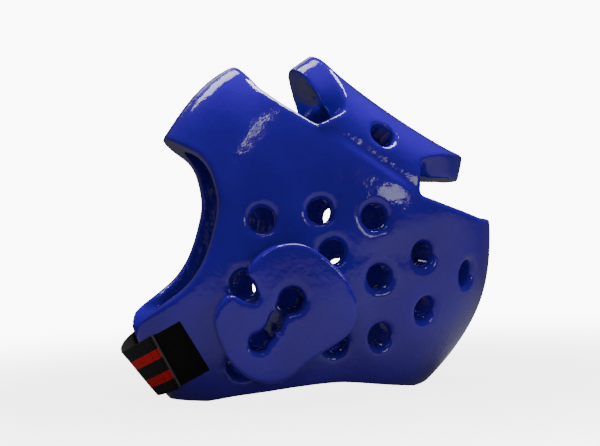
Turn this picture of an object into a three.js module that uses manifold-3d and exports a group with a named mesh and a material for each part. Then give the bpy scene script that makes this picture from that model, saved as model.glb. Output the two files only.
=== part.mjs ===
// Full-face sparring headgear of thick foam sheet under a dipped vinyl skin.
// Two side panels meet at the crown and in a ridge at the chin, a forehead panel bridges them
// over the eyes, a pad is glued over each ear, and an elastic strap closes the gap at the nape.
//
// Millimetres. +Z is up and the face looks along -Y, so -X is the wearer's right.
// The headgear stands on its chin rim and its two nape rims, at z = 0.

import * as THREE from "three";
import { mergeGeometries, mergeVertices } from "three/addons/utils/BufferGeometryUtils.js";
import Module from "manifold-3d";

const wasm = await Module();
wasm.setup();

// Driving sizes
const reach = 150; // ear point to the farthest stretch of the rim, seen from the side
const halfWidth = 93; // middle plane to the outer face over the ear
const wall = 19.5; // foam sheet with its skin
const earPadThickness = 20;
const ventRadius = 8.8;
const earVentRadius = 7.4; // the two holes through the shell under an ear pad
const seamGap = 0.3; // between pieces that are glued together
const strapWidth = 40;
const strapThickness = 1.8;
const patchThickness = 2;
const patchSetback = 5; // from the nape rim to the patch's hidden end

// The ear point, which every share of reach is measured from
const earHeight = 0.647 * reach;

// Facet counts
const turnSteps = 48;
const rowSteps = 9;
const rowSpread = 0.8; // below 1, the form's rows lie closer together towards the ear
const ventSides = 13;
const splineSteps = 2; // between two points of a table
const bisections = 40;

const fullTurn = 360;
const weldDistance = 1e-4; // corners closer than this are one
const slopeProbe = 0.5; // half the step over which the form's slope is measured
const cutterLength = 3 * wall;
const beside = 2 * halfWidth; // farther to the side than any piece reaches
const offMiddle = 1; // a sheet on one side starts this far from the middle plane

// Outer form of the shell, by the direction seen from the side: 0 is aft and 90 is up.
// rim is the reach in the middle plane, as a share of reach. side and round are the exponents
// of the section from there to the ear: low values pinch it into a ridge, high ones square it.
const form = [
  { turn: -75, rim: 0.937, side: 3.3, round: 2.7 },
  { turn: -45, rim: 0.985, side: 3.2, round: 2.7 },
  { turn: -15, rim: 1.0, side: 2.95, round: 2.6 },
  { turn: 15, rim: 0.943, side: 2.75, round: 2.58 },
  { turn: 40, rim: 0.913, side: 2.62, round: 2.6 },
  { turn: 65, rim: 0.99, side: 2.45, round: 2.65 },
  { turn: 90, rim: 1.011, side: 2.2, round: 2.77 },
  { turn: 115, rim: 0.989, side: 2.04, round: 2.83 },
  { turn: 140, rim: 0.961, side: 2.15, round: 2.85 },
  { turn: 160, rim: 0.945, side: 2.0, round: 2.55 },
  { turn: 178, rim: 0.922, side: 1.66, round: 2.25 },
  { turn: 196, rim: 0.906, side: 1.49, round: 2.4 },
  { turn: 215, rim: 0.874, side: 1.5, round: 2.5 },
  { turn: 230, rim: 0.858, side: 1.86, round: 2.5 },
  { turn: 246, rim: 0.866, side: 2.38, round: 2.6 },
  { turn: 262, rim: 0.865, side: 2.6, round: 2.5 },
];

// Forehead panel: straight from front to back along its slope, an arch from side to side
const browSlope = THREE.MathUtils.degToRad(35.9);
const crownCorner = { aft: -0.048, up: 0.984 }; // its rear edge in the middle, shares of reach
const foreheadLength = 0.905 * reach;
const archHalfSpan = 0.898 * halfWidth;
const archRise = 0.367 * reach;
const archSquareness = 2.5;
const archDip = { depth: 0.033 * reach, power: 0.55 }; // its top sags between its two edges
const creaseDepth = 0.333 * reach; // below the arch's top, where it meets the side panels
const archSteps = 24;
const slopeSteps = 4;
// How far the rear and brow edges swing in at the sides, as shares of reach
const rearSwing = { corner: 0.247, crease: 0.172, power: 2.1 };
const browSwing = { corner: 0.671, crease: 0.751, power: 2.3 };
const cornerDepth = 0.197 * reach; // how far down the arch its four corners lie

// Comma-shaped vents, two alike laid round each other as in a taegeuk. The outline runs from the
// tip of the tail over the back to the round head and home again, in shares of commaHalfWidth.
const commaHalfWidth = 23.4;
const commaCentre = 0.44 * reach; // along the slope, from the panel's rear edge
const commaOutline = [
  { side: 0.83, up: 0.37 },
  { side: 0.58, up: 0.64 },
  { side: 0.32, up: 0.81 },
  { side: -0.01, up: 0.91 },
  { side: -0.37, up: 0.85 },
  { side: -0.67, up: 0.68 },
  { side: -0.91, up: 0.42 },
  { side: -0.96, up: 0.15 },
  { side: -0.85, up: -0.12 },
  { side: -0.65, up: -0.25 },
  { side: -0.45, up: -0.19 },
  { side: -0.26, up: -0.04 },
  { side: -0.11, up: 0.13 },
  { side: 0.06, up: 0.28 },
  { side: 0.25, up: 0.34 },
  { side: 0.54, up: 0.36 },
];

// Rims seen from the side, as shares of reach from the ear point
const crownRim = [
  { aft: 0.4, up: 1.03 },
  { aft: 0.341, up: 0.941 },
  { aft: 0.253, up: 0.799 },
  { aft: 0.165, up: 0.723 },
];
const chinTopRim = [
  { aft: -0.622, up: 0.215 },
  { aft: -0.81, up: 0.153 },
  { aft: -1.07, up: 0.127 },
];
const bottomRim = [
  { aft: -0.453, up: -0.647 },
  { aft: -0.367, up: -0.629 },
  { aft: -0.232, up: -0.605 },
  { aft: -0.083, up: -0.585 },
  { aft: 0.024, up: -0.583 },
  { aft: 0.164, up: -0.592 },
  { aft: 0.289, up: -0.607 },
  { aft: 0.435, up: -0.625 },
  { aft: 0.547, up: -0.647 },
];
// Edge of the nape gap, seen along the way that the tab's rim is cut: across that way and up
const napeCutTurn = THREE.MathUtils.degToRad(27); // from straight aft, towards the ear
const napeCutFar = 1.5; // where the cut ends, far behind the shell
const napeEdge = [
  { across: 0.12, up: -0.66 },
  { across: 0.12, up: -0.633 },
  { across: 0.094, up: -0.33 },
  { across: 0.062, up: -0.282 },
  { across: 0.02, up: -0.24 },
  { across: 0, up: -0.1 },
];
const napeOpeningRim = [
  { aft: 0.855, up: -0.261 },
  { aft: 0.776, up: -0.21 },
  { aft: 0.703, up: -0.161 },
  { aft: 0.629, up: -0.101 },
  { aft: 0.567, up: -0.018 },
  { aft: 0.528, up: 0.067 },
  { aft: 0.494, up: 0.175 },
  { aft: 0.478, up: 0.26 },
  { aft: 0.485, up: 0.346 },
  { aft: 0.51, up: 0.434 },
  { aft: 0.553, up: 0.493 },
  { aft: 0.627, up: 0.543 },
  { aft: 0.695, up: 0.593 },
  { aft: 0.767, up: 0.658 },
];
const clearOfShell = 1.25; // corners of a cut that lie outside the shell, share of reach
const clearOfCrown = { aft: 0.7, up: clearOfShell };

// Vents through each side panel, seen from the side
const vents = [
  { aft: 0.291, up: 0.187 },
  { aft: 0.021, up: 0.215 },
  { aft: -0.231, up: 0.179 },
  { aft: -0.474, up: -0.006 },
  { aft: -0.723, up: -0.115 },
  { aft: -0.249, up: -0.101 },
  { aft: -0.484, up: -0.27 },
  { aft: -0.25, up: -0.378 },
  { aft: -0.028, up: 0.024 },
  { aft: 0.378, up: -0.103 },
  { aft: -0.028, up: -0.394 },
  { aft: 0.408, up: -0.482 },
];
const foreheadVent = { depth: 0.185, along: 0.455 };

// Ear pad seen from the side: two overlapping discs with a notch round the vent behind the ear
const padFront = { aft: 0.173, up: -0.193, radius: 0.267 };
const padRear = { aft: 0.3, up: -0.313, radius: 0.23 };
const padNotch = { aft: 0.378, up: -0.103 };
const padNotchReach = 0.062; // past the vent's centre, towards the middle of the pad
const padNotchRadius = 0.05;
const slotUpper = { aft: 0.183, up: -0.178, radius: 0.055 };
const slotLower = { aft: 0.337, up: -0.363, radius: 0.042 };
const slotWaist = 0.05;
const slotBow = 0.012; // how far the slot's waist is bowed to each side

// Strap: where its front end lies on the shell, and where it crosses the middle plane
const patchFrontUpper = { aft: 0.675, up: -0.261 };
const patchFrontLower = { aft: 0.546, up: -0.492 };
const strapEndUpper = { aft: 0.792, up: -0.322 };
const strapEndLower = { aft: 0.67, up: -0.565 };
const strapRimUpper = { aft: 0.866, up: -0.37 };
const strapRimLower = { aft: 0.748, up: -0.612 };
const strapMiddle = { aft: 0.848, up: -0.532 };
const strapMiddleLean = THREE.MathUtils.degToRad(41); // of its width from upright
const strapBend = 0.4; // how slowly it turns from the tab into the gap, share of that stretch
const strapRows = 5;
const strapShellSteps = 4;
const strapSpanSteps = 9;

// Materials
const vinyl = new THREE.MeshStandardMaterial({ color: 0x1a2a9a, roughness: 0.18, metalness: 0 });
const loopTape = new THREE.MeshStandardMaterial({ color: 0x0c0c0e, roughness: 0.95, metalness: 0 });
const elastic = new THREE.MeshStandardMaterial({ color: 0x17181a, roughness: 0.85, metalness: 0 });

// Solids

function solidOf(geometry) {
  const bare = new THREE.BufferGeometry();
  bare.setAttribute("position", geometry.getAttribute("position").clone());
  if (geometry.index) bare.setIndex(geometry.index.clone());
  const merged = mergeVertices(bare, weldDistance);
  return new wasm.Manifold(new wasm.Mesh({
    numProp: 3,
    vertProperties: new Float32Array(merged.getAttribute("position").array),
    triVerts: new Uint32Array(merged.index.array),
  }));
}

function meshOf(solid, name, material) {
  const { numProp, vertProperties, triVerts } = solid.getMesh();
  const positions = new Float32Array((vertProperties.length / numProp) * 3);
  for (let i = 0; i < positions.length / 3; i += 1) {
    for (let axis = 0; axis < 3; axis += 1) positions[3 * i + axis] = vertProperties[numProp * i + axis];
  }
  const geometry = new THREE.BufferGeometry();
  geometry.setAttribute("position", new THREE.BufferAttribute(positions, 3));
  geometry.setIndex(new THREE.BufferAttribute(new Uint32Array(triVerts), 1));
  geometry.computeVertexNormals();
  const mesh = new THREE.Mesh(geometry, material);
  mesh.name = name;
  return mesh;
}

// A closed skin over rows of points, all rows of one length. closed rows join end to start.
function skin(rows, closedRows) {
  const width = rows[0].length;
  const positions = rows.flat().flatMap((point) => [point.x, point.y, point.z]);
  const index = [];
  const spans = closedRows ? width : width - 1;
  for (let row = 0; row + 1 < rows.length; row += 1) {
    for (let i = 0; i < spans; i += 1) {
      const a = row * width + i;
      const b = row * width + ((i + 1) % width);
      index.push(a, a + width, b, b, a + width, b + width);
    }
  }
  const geometry = new THREE.BufferGeometry();
  geometry.setAttribute("position", new THREE.Float32BufferAttribute(positions, 3));
  geometry.setIndex(index);
  return geometry;
}

// A slab between two grids of points with the same rows and columns
function slab(outer, inner) {
  const rings = outer.map((row, i) => [...row, ...inner[i].slice().reverse()]);
  const tube = skin(rings, true);
  const lids = [0, rings.length - 1].map((end) => {
    const ring = rings[end];
    const half = ring.length / 2;
    const rows = [ring.slice(0, half), ring.slice(half).reverse()];
    return skin(end === 0 ? rows.reverse() : rows, false);
  });
  return solidOf(mergeGeometries([tube, ...lids]));
}

// A shape seen from the side, its x aft and its y up, pushed along X from one place to the other
function prism(shape, from, to) {
  const geometry = new THREE.ExtrudeGeometry(shape, { depth: to - from, bevelEnabled: false });
  geometry.applyMatrix4(new THREE.Matrix4().makeBasis(
    new THREE.Vector3(0, 1, 0), new THREE.Vector3(0, 0, 1), new THREE.Vector3(1, 0, 0),
  ));
  geometry.translate(from, 0, 0);
  return solidOf(geometry);
}

const place = ({ aft, up }) => new THREE.Vector2(aft * reach, earHeight + up * reach);

// Outer form

// The table's column at a turn, on a smooth closed curve through its rows
function formAt(turn, column) {
  const lap = THREE.MathUtils.euclideanModulo(turn - form[0].turn, fullTurn) + form[0].turn;
  const row = form.findLastIndex((entry) => entry.turn <= lap);
  const at = (i) => {
    const laps = Math.floor(i / form.length);
    const entry = form[i - laps * form.length];
    return { turn: entry.turn + fullTurn * laps, value: entry[column] };
  };
  const [before, start, end, after] = [row - 1, row, row + 1, row + 2].map(at);
  const span = end.turn - start.turn;
  const share = (lap - start.turn) / span;
  const slopeIn = ((end.value - before.value) / (end.turn - before.turn)) * span;
  const slopeOut = ((after.value - start.value) / (after.turn - start.turn)) * span;
  const square = share * share;
  const cube = square * share;
  return (2 * cube - 3 * square + 1) * start.value + (cube - 2 * square + share) * slopeIn
    + (3 * square - 2 * cube) * end.value + (cube - square) * slopeOut;
}

// Signed fullness of the outer form at a point: 0 on its face, below 0 inside
function fullness(point) {
  const aft = point.y;
  const up = point.z - earHeight;
  const turn = THREE.MathUtils.radToDeg(Math.atan2(up, aft));
  const out = Math.hypot(aft, up) / (formAt(turn, "rim") * reach);
  return out ** formAt(turn, "round") + (Math.abs(point.x) / halfWidth) ** formAt(turn, "side") - 1;
}

function outwardAt(point) {
  const slope = ["x", "y", "z"].map((axis) => {
    const ahead = point.clone();
    const behind = point.clone();
    ahead[axis] += slopeProbe;
    behind[axis] -= slopeProbe;
    return fullness(ahead) - fullness(behind);
  });
  return new THREE.Vector3(...slope).normalize();
}

// A point of the right half's face, from the middle plane (lift 0) to the ear (lift 1)
function faceAt(turn, lift, offset) {
  const radians = THREE.MathUtils.degToRad(turn);
  const quarter = (Math.PI / 2) * lift;
  const out = Math.cos(quarter) ** (2 / formAt(turn, "round")) * formAt(turn, "rim") * reach;
  const side = Math.sin(quarter) ** (2 / formAt(turn, "side")) * halfWidth;
  const point = new THREE.Vector3(-side, out * Math.cos(radians), earHeight + out * Math.sin(radians));
  if (lift >= 1) return point.add(new THREE.Vector3(-offset, 0, 0));
  const outward = outwardAt(point);
  if (lift <= 0) outward.x = 0;
  return point.addScaledVector(outward.normalize(), offset);
}

// The right half of the outer form, grown by an offset, as a solid with a flat face at x = 0
function halfForm(offset) {
  const rings = [];
  for (let row = 0; row < rowSteps; row += 1) {
    const lift = (row / rowSteps) ** rowSpread;
    const turns = Array.from({ length: turnSteps }, (_, i) => (fullTurn * i) / turnSteps);
    const ring = turns.map((turn) => faceAt(turn, lift, offset));
    if (row === 0) ring.forEach((point) => point.setX(0));
    rings.push(ring);
  }
  const pole = faceAt(0, 1, offset);
  const middle = new THREE.Vector3(0, 0, earHeight);
  const rows = [rings[0].map(() => middle.clone()), ...rings, rings[0].map(() => pole.clone())];
  return solidOf(dropSlivers(mergeVertices(skin(rows, true), weldDistance)));
}

// Triangles whose corners have run together, as at a pole, are left out
function dropSlivers(geometry) {
  const kept = [];
  const { array } = geometry.index;
  for (let i = 0; i < array.length; i += 3) {
    const [a, b, c] = [array[i], array[i + 1], array[i + 2]];
    if (a !== b && b !== c && c !== a) kept.push(a, b, c);
  }
  geometry.setIndex(kept);
  return geometry;
}

// The face's x at a place seen from the side, grown by an offset
function onFace(spot, offset) {
  let inner = 0;
  let outer = beside;
  for (let i = 0; i < bisections; i += 1) {
    const middle = (inner + outer) / 2;
    if (fullness(new THREE.Vector3(-middle, spot.x, spot.y)) > 0) outer = middle;
    else inner = middle;
  }
  const point = new THREE.Vector3(-inner, spot.x, spot.y);
  return point.addScaledVector(outwardAt(point), offset);
}

// A round cutter through a foot in a face, along the way out of that face
function drill(foot, outward, radius) {
  const cutter = new THREE.CylinderGeometry(radius, radius, cutterLength, ventSides);
  const turn = new THREE.Quaternion().setFromUnitVectors(new THREE.Vector3(0, 1, 0), outward);
  cutter.applyQuaternion(turn);
  cutter.translate(foot.x, foot.y, foot.z);
  return solidOf(cutter);
}

// A round cutter through the shell, at a place seen from the side
function cutterAt(spot, radius) {
  const foot = onFace(spot, 0);
  return drill(foot, outwardAt(foot), radius);
}

// Forehead panel

const slopeWay = new THREE.Vector2(-Math.cos(browSlope), -Math.sin(browSlope));
const slopeUp = new THREE.Vector2(-Math.sin(browSlope), Math.cos(browSlope));
const archTop = place(crownCorner);

// A point by how far it lies to the side, along the slope and above the arch's top
const onSlope = (side, along, above) => new THREE.Vector3(
  side,
  archTop.x + slopeWay.x * along + slopeUp.x * above,
  archTop.y + slopeWay.y * along + slopeUp.y * above,
);

// How far to the side the arch is, at a depth below its top
function archSide(depth) {
  const rise = (archRise - depth) / archRise;
  return archHalfSpan * (1 - rise ** archSquareness) ** (1 / archSquareness);
}

// A place on the arch's section by its depth, on the +X side, with the way out of its face
function archPlace(depth) {
  const side = archSide(depth);
  const rise = ((archRise - depth) / archRise) ** (archSquareness - 1) / archRise;
  const run = (side / archHalfSpan) ** (archSquareness - 1) / archHalfSpan;
  return { side, depth, outward: new THREE.Vector2(run, rise).normalize() };
}

// Section of the arch from the left crease to the right one
function archSection() {
  const last = Math.acos(((archRise - creaseDepth) / archRise) ** (archSquareness / 2));
  return Array.from({ length: archSteps + 1 }, (_, i) => {
    const lift = 1 - (2 * i) / archSteps;
    const depth = archRise * (1 - Math.cos(Math.abs(lift) * last) ** (2 / archSquareness));
    const { side, outward } = archPlace(depth);
    const hand = Math.sign(lift);
    return { side: hand * side, depth, outward: new THREE.Vector2(hand * outward.x, outward.y) };
  });
}

// Where an edge of the panel lies along the slope, by how far down the arch it is
function edgeAlong(row, swing, middle) {
  if (row.depth <= cornerDepth) {
    const share = (Math.abs(row.side) / archSide(cornerDepth)) ** swing.power;
    return middle + (swing.corner * reach - middle) * share;
  }
  const share = (row.depth - cornerDepth) / (creaseDepth - cornerDepth);
  return THREE.MathUtils.lerp(swing.corner, swing.crease, share) * reach;
}

// How far the arch's top has sagged, by the share of the way from its rear edge to the brow
function dipAt(share) {
  return archDip.depth * Math.sin(Math.PI * share) ** archDip.power;
}

// One comma vent's outline. A hand of -1 turns it half a turn, which makes its partner.
function commaShape(hand) {
  const spots = commaOutline.map(({ side, up }) => (
    new THREE.Vector2(side, up).multiplyScalar(hand * commaHalfWidth)
  ));
  const shape = new THREE.Shape();
  shape.moveTo(spots[0].x, spots[0].y);
  shape.splineThru(spots.slice(1));
  return new THREE.Shape(shape.getPoints(splineSteps));
}

function foreheadPanel() {
  const section = archSection();
  const outer = [];
  const inner = [];
  for (const row of section) {
    const from = edgeAlong(row, rearSwing, 0);
    const to = edgeAlong(row, browSwing, foreheadLength);
    const shares = Array.from({ length: slopeSteps + 1 }, (_, i) => i / slopeSteps);
    const steps = shares.map((share) => THREE.MathUtils.lerp(from, to, share));
    const dips = shares.map((share) => dipAt(share) * (1 - row.depth / creaseDepth));
    const feet = dips.map((dip) => Math.min(row.depth + dip + row.outward.y * wall, creaseDepth));
    const inwards = row.side - row.outward.x * wall;
    outer.push(steps.map((along, i) => onSlope(row.side, along, -row.depth - dips[i])));
    inner.push(steps.map((along, i) => onSlope(inwards, along, -feet[i])));
  }
  let panel = slab(outer, inner);
  const toSlope = new THREE.Matrix4().makeBasis(
    new THREE.Vector3(1, 0, 0),
    new THREE.Vector3(0, -slopeWay.x, -slopeWay.y),
    new THREE.Vector3(0, slopeUp.x, slopeUp.y),
  ).setPosition(onSlope(0, commaCentre, -cutterLength / 2));
  for (const hand of [1, -1]) {
    const comma = new THREE.ExtrudeGeometry(commaShape(hand), { depth: cutterLength, bevelEnabled: false });
    panel = panel.subtract(solidOf(comma.applyMatrix4(toSlope)));
  }
  const depth = foreheadVent.depth * reach;
  const { side, outward } = archPlace(depth);
  for (const hand of [-1, 1]) {
    const way = onSlope(hand * outward.x, 0, outward.y).sub(onSlope(0, 0, 0));
    const foot = onSlope(hand * side, foreheadVent.along * reach, -depth);
    panel = panel.subtract(drill(foot, way, ventRadius));
  }
  return panel;
}

// Side panels

// A side panel's rims seen from the side: the crown, the crease, the face opening's lower edge,
// the bottom, and the opening behind the head
function sideOutline() {
  const creaseEnd = (along) => {
    const point = onSlope(0, along * reach, -creaseDepth - seamGap);
    return new THREE.Vector2(point.y, point.z);
  };
  const shape = new THREE.Shape();
  const lineThrough = (spots) => spots.forEach((spot) => shape.lineTo(spot.x, spot.y));
  const crown = crownRim.map(place);
  shape.moveTo(crown[0].x, crown[0].y);
  lineThrough(crown.slice(1));
  lineThrough([rearSwing, browSwing].map((swing) => creaseEnd(swing.crease)));
  lineThrough(chinTopRim.map(place));
  const bottom = bottomRim.map(place);
  shape.lineTo(place(chinTopRim.at(-1)).x, 0);
  shape.lineTo(bottom[0].x, 0);
  shape.splineThru(bottom.slice(1));
  lineThrough([bottomRim.at(-1), napeEdge[2]].map(({ up }) => place({ aft: clearOfShell, up })));
  lineThrough([place(napeOpeningRim[0])]);
  shape.splineThru(napeOpeningRim.slice(1).map(place));
  lineThrough([place(clearOfCrown)]);
  return new THREE.Shape(shape.getPoints(splineSteps));
}

const outerForm = halfForm(0);

// The gap between the nape tabs, on the right: all that lies aft of the tab's rim
function napeGap() {
  const edge = napeEdge.map(({ across, up }) => new THREE.Vector2(across * reach, earHeight + up * reach));
  const far = clearOfShell * reach;
  const corners = [...edge, new THREE.Vector2(far, edge.at(-1).y), new THREE.Vector2(far, edge[0].y)];
  const shape = new THREE.Shape(corners);
  const geometry = new THREE.ExtrudeGeometry(shape, { depth: far, bevelEnabled: false });
  const way = new THREE.Vector3(-Math.sin(napeCutTurn), Math.cos(napeCutTurn), 0);
  const across = new THREE.Vector3(Math.cos(napeCutTurn), Math.sin(napeCutTurn), 0);
  const up = new THREE.Vector3(0, 0, 1);
  geometry.applyMatrix4(new THREE.Matrix4().makeBasis(across, up, way.clone().negate()));
  geometry.translate(way.x * napeCutFar * reach, way.y * napeCutFar * reach, 0);
  return solidOf(geometry);
}

function rightSidePanel() {
  const shell = outerForm.subtract(halfForm(-wall));
  let panel = shell.intersect(prism(sideOutline(), -beside, -seamGap / 2)).subtract(napeGap());
  for (const vent of vents) panel = panel.subtract(cutterAt(place(vent), ventRadius));
  for (const hole of [slotUpper, slotLower]) {
    panel = panel.subtract(cutterAt(place(hole), earVentRadius));
  }
  return panel;
}

// A sheet that lies on the right half of the shell, between two offsets from its face
function onShell(shape, from, to) {
  return halfForm(to).subtract(halfForm(from)).intersect(prism(shape, -beside, -offMiddle));
}

// Ear pad

function disc(centre, radius) {
  const at = place(centre);
  const round = new THREE.Shape().absarc(at.x, at.y, radius * reach, 0, 2 * Math.PI);
  return prism(round, -beside, -offMiddle);
}

// A bar between two places seen from the side, its ends as wide as its middle
function bar(from, to, width) {
  const along = to.clone().sub(from).normalize();
  const across = new THREE.Vector2(-along.y, along.x).multiplyScalar(width / 2);
  const corners = [
    from.clone().add(across), from.clone().sub(across), to.clone().sub(across), to.clone().add(across),
  ];
  return prism(new THREE.Shape(corners), -beside, -offMiddle);
}

function rightEarPad() {
  const discs = disc(padFront, padFront.radius).add(disc(padRear, padRear.radius));
  const front = place(padFront);
  const notch = place(padNotch);
  const inward = front.clone().sub(notch).normalize();
  const depth = notch.clone().addScaledVector(inward, padNotchReach * reach);
  const mouth = notch.clone().addScaledVector(inward, -padFront.radius * reach);
  const bottom = { aft: depth.x / reach, up: (depth.y - earHeight) / reach };
  const cut = disc(bottom, padNotchRadius).add(bar(depth, mouth, 2 * padNotchRadius * reach));
  const upper = place(slotUpper);
  const lower = place(slotLower);
  const across = new THREE.Vector2(lower.y - upper.y, upper.x - lower.x).normalize();
  const bow = across.multiplyScalar(slotBow * reach);
  const bends = [
    upper, upper.clone().lerp(lower, 1 / 3).add(bow), upper.clone().lerp(lower, 2 / 3).sub(bow), lower,
  ];
  let slot = disc(slotUpper, slotUpper.radius).add(disc(slotLower, slotLower.radius));
  for (let i = 0; i + 1 < bends.length; i += 1) {
    slot = slot.add(bar(bends[i], bends[i + 1], slotWaist * reach));
  }
  const sheet = halfForm(earPadThickness + seamGap).subtract(halfForm(seamGap));
  return sheet.intersect(discs.subtract(cut).subtract(slot));
}

// Strap and its patches

function rightPatch() {
  const upper = place(patchFrontUpper);
  const lower = place(patchFrontLower);
  const shortOf = (from, to) => {
    const way = to.clone().sub(from);
    return way.setLength(way.length() - patchSetback).add(from);
  };
  const backUpper = shortOf(upper, place(strapRimUpper));
  const backLower = shortOf(lower, place(strapRimLower));
  const shape = new THREE.Shape([upper, backUpper, backLower, lower]);
  return onShell(shape, seamGap, seamGap + patchThickness);
}

// A row of points across the strap
function strapRow(upper, lower) {
  return Array.from({ length: strapRows + 1 }, (_, i) => upper.clone().lerp(lower, i / strapRows));
}

function napeStrap() {
  const lift = patchThickness + 2 * seamGap;
  const rows = [];
  for (let i = 0; i <= strapShellSteps; i += 1) {
    const share = i / strapShellSteps;
    const upper = place(strapEndUpper).lerp(place(strapRimUpper), share);
    const lower = place(strapEndLower).lerp(place(strapRimLower), share);
    rows.push(strapRow(upper, lower).map((spot) => onFace(spot, lift)));
  }
  const centre = place(strapMiddle);
  const half = new THREE.Vector3(0, Math.sin(strapMiddleLean), Math.cos(strapMiddleLean));
  half.multiplyScalar(strapWidth / 2);
  const middle = new THREE.Vector3(0, centre.x, centre.y);
  const far = strapRow(middle.clone().add(half), middle.clone().sub(half));
  const near = rows.at(-1);
  const before = rows.at(-2);
  for (let i = 1; i <= strapSpanSteps; i += 1) {
    rows.push(near.map((start, j) => {
      const pull = start.distanceTo(far[j]) * strapBend;
      const leaving = start.clone().sub(before[j]).setLength(pull).add(start);
      const arriving = far[j].clone().setX(far[j].x - pull);
      return new THREE.CubicBezierCurve3(start, leaving, arriving, far[j]).getPoint(i / strapSpanSteps);
    }));
  }
  const mirrorRow = (row) => row.map((point) => new THREE.Vector3(-point.x, point.y, point.z));
  const innerRows = [...rows, ...rows.slice(0, -1).reverse().map(mirrorRow)];
  const outerRows = innerRows.map((row, i) => {
    const ahead = innerRows[Math.min(i + 1, innerRows.length - 1)];
    const behind = innerRows[Math.max(i - 1, 0)];
    return row.map((point, j) => {
      const along = ahead[j].clone().sub(behind[j]);
      const across = row[Math.min(j + 1, strapRows)].clone().sub(row[Math.max(j - 1, 0)]);
      return point.clone().addScaledVector(along.cross(across).normalize(), strapThickness);
    });
  });
  return slab(outerRows, innerRows);
}

// Assembly

const headgear = new THREE.Group();
const mirror = (solid) => solid.mirror([1, 0, 0]);
const sidePanel = rightSidePanel();
const earPad = rightEarPad();
const patch = rightPatch();
headgear.add(
  meshOf(sidePanel, "right_side_panel", vinyl),
  meshOf(mirror(sidePanel), "left_side_panel", vinyl),
  meshOf(foreheadPanel(), "forehead_panel", vinyl),
  meshOf(earPad, "right_ear_pad", vinyl),
  meshOf(mirror(earPad), "left_ear_pad", vinyl),
  meshOf(patch, "right_strap_patch", loopTape),
  meshOf(mirror(patch), "left_strap_patch", loopTape),
  meshOf(napeStrap(), "nape_strap", elastic),
);

// The origin lies under the middle of the whole headgear
const box = new THREE.Box3().setFromObject(headgear);
headgear.position.set(0, -(box.min.y + box.max.y) / 2, -box.min.z);

export default headgear;
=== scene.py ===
"""Karate headgear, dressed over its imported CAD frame.

The foam panels are one dipped shell: it is cut from the same outer form and outlines as the
CAD, remeshed and smoothed so that every rim and vent mouth is round, and then divided again
into the CAD's pieces. Lengths are millimetres until a mesh is written, which is in metres.
"""

import math

import bmesh
import bpy
import numpy as np
from mathutils import Matrix, Vector


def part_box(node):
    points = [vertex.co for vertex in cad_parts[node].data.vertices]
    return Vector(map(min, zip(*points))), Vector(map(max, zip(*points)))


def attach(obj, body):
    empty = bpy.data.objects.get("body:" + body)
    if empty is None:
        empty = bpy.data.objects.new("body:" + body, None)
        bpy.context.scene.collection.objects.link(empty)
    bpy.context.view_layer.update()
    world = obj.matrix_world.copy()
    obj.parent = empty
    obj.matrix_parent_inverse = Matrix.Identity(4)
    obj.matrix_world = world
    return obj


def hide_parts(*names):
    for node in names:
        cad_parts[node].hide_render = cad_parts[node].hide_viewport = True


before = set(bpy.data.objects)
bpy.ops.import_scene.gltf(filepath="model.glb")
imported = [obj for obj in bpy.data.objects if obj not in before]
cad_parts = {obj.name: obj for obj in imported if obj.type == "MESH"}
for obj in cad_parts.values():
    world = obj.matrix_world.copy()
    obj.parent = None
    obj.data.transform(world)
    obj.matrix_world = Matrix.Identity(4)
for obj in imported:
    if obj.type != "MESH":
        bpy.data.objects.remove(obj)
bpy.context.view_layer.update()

MM = 0.001

# Sizes shared with the CAD
REACH = 150.0
HALF_WIDTH = 93.0
WALL = 19.5
EAR_PAD = 20.0
VENT_RADIUS = 8.8
EAR_VENT_RADIUS = 7.4
SEAM_GAP = 0.3
STRAP_WIDTH = 40.0
STRAP_THICKNESS = 1.8
PATCH_THICKNESS = 2.0
PATCH_SETBACK = 5.0

# The ear point, which every share of REACH is measured from: over the chin's foremost point
CHIN_REACH = 138.1
EAR_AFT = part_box("right_side_panel")[0][1] / MM + CHIN_REACH
EAR_HEIGHT = 0.647 * REACH

# Outer form by the direction seen from the side: turn, rim, side exponent, round exponent
FORM = np.array([
    (-75, 0.937, 3.3, 2.7),
    (-45, 0.985, 3.2, 2.7),
    (-15, 1.0, 2.95, 2.6),
    (15, 0.943, 2.75, 2.58),
    (40, 0.913, 2.62, 2.6),
    (65, 0.99, 2.45, 2.65),
    (90, 1.011, 2.2, 2.77),
    (115, 0.989, 2.04, 2.83),
    (140, 0.961, 2.15, 2.85),
    (160, 0.945, 2.0, 2.55),
    (178, 0.922, 1.66, 2.25),
    (196, 0.906, 1.49, 2.4),
    (215, 0.874, 1.5, 2.5),
    (230, 0.858, 1.86, 2.5),
    (246, 0.866, 2.38, 2.6),
    (262, 0.865, 2.6, 2.5),
])
RIM, SIDE, ROUND = 1, 2, 3

# Forehead panel
BROW_SLOPE = math.radians(35.9)
CROWN_CORNER = (-0.048, 0.984)
FOREHEAD_LENGTH = 0.905 * REACH
ARCH_HALF_SPAN = 0.898 * HALF_WIDTH
ARCH_RISE = 0.367 * REACH
ARCH_SQUARENESS = 2.5
ARCH_DIP = (0.033 * REACH, 0.55)  # how far its top sags between its two edges, and the power
CREASE_DEPTH = 0.333 * REACH
CORNER_DEPTH = 0.197 * REACH
REAR_SWING = (0.247, 0.172, 2.1)  # at the corner, at the crease, power
BROW_SWING = (0.671, 0.751, 2.3)
FOREHEAD_VENT = (0.185, 0.455)  # depth and place along the slope
FOREHEAD_SINK = 1.5  # how deep its ends go into the side panels

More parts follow.
